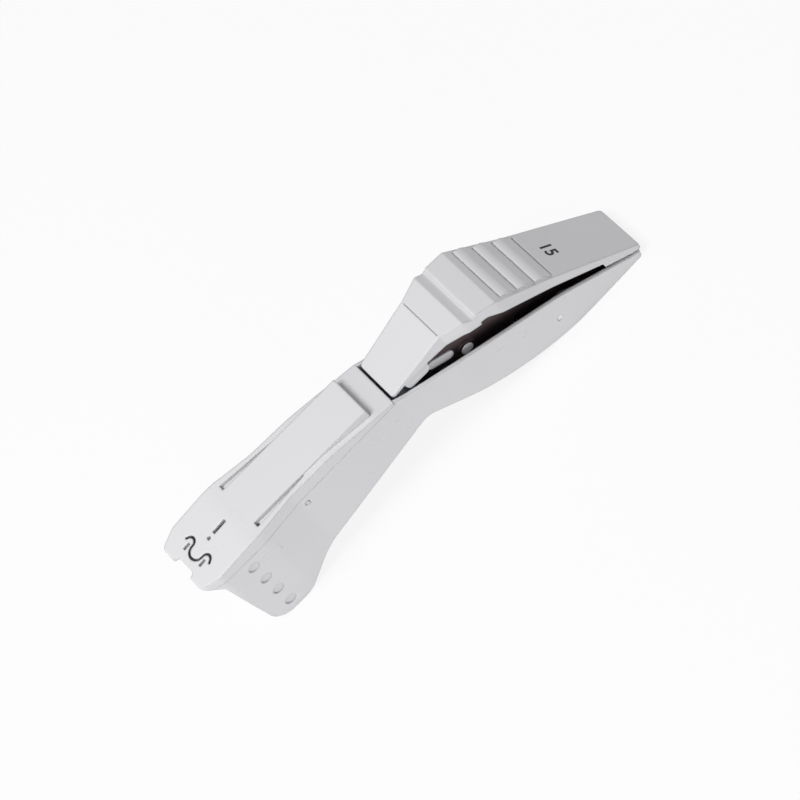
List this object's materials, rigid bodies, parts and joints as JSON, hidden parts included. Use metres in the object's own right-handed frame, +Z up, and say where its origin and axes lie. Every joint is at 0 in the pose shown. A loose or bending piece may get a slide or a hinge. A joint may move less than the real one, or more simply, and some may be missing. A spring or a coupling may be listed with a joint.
{
  "type": "skin stapler",
  "caption": "Pinch-grip skin stapler: a white body whose sprung thumb lever drives a ram forward to form and release a staple at the nose.",
  "frame": {"origin": "centre of the overall box at its bottom, midway between nose and tail, on the surface it stands on", "axes": "+X from the nose to the tail, +Y across the object, +Z up"},
  "size_m": [0.1142, 0.0182, 0.0308],
  "materials": {
    "white_plastic": "gloss",
    "carrier_plastic": "satin",
    "sheet_steel": "brushed",
    "pin_steel": "turned",
    "dark_steel": "dark passivated",
    "dark_wire": "dark spring steel",
    "staple_wire": "bright"
  },
  "bodies": {
    "frame": {"housing": "white_plastic", "top_cover": "white_plastic", "magazine": "sheet_steel", "magazine_base": "white_plastic", "anvil": "sheet_steel", "ejector_spring": "dark_wire", "ram_guide": "sheet_steel", "pivot_pin": "pin_steel", "stop_pin": "pin_steel", "spring_pin": "pin_steel", "return_spring": "dark_wire", "follower_spring": "dark_wire", "staple_stack": "staple_wire"},
    "lever": {"thumb_lever": "white_plastic", "drive_arm": "dark_steel"},
    "ram": {"ram_carriage": "carrier_plastic", "ram_blade": "sheet_steel", "blade_rivets": "pin_steel", "cross_pin": "pin_steel", "top_staple": "staple_wire"},
    "feed": {"follower": "carrier_plastic"}
  },
  "joints": [
    {"name": "lever_hinge", "type": "hinge", "parent": "frame", "child": "lever", "pos_m": [0.052, 0, 0.0034], "axis": [0, -1, 0], "range_deg": [0, 5], "stiffness_Nm_per_rad": 1.2, "springref_deg": -11.46, "deforming": ["return_spring"]},
    {"name": "ram_slide", "type": "slide", "parent": "frame", "child": "ram", "axis": [-1, 0, 0], "range_m": [0, 0.007], "deforming": ["top_staple"]},
    {"name": "follower_feed", "type": "slide", "parent": "frame", "child": "feed", "axis": [-0.0919, 0, 0.9958], "range_m": [0, 0.0078], "deforming": ["follower_spring", "staple_stack"]}
  ],
  "couplings": [
    {"joint": "ram_slide", "follows": "lever_hinge", "m_per_rad": 0.0802}
  ]
}
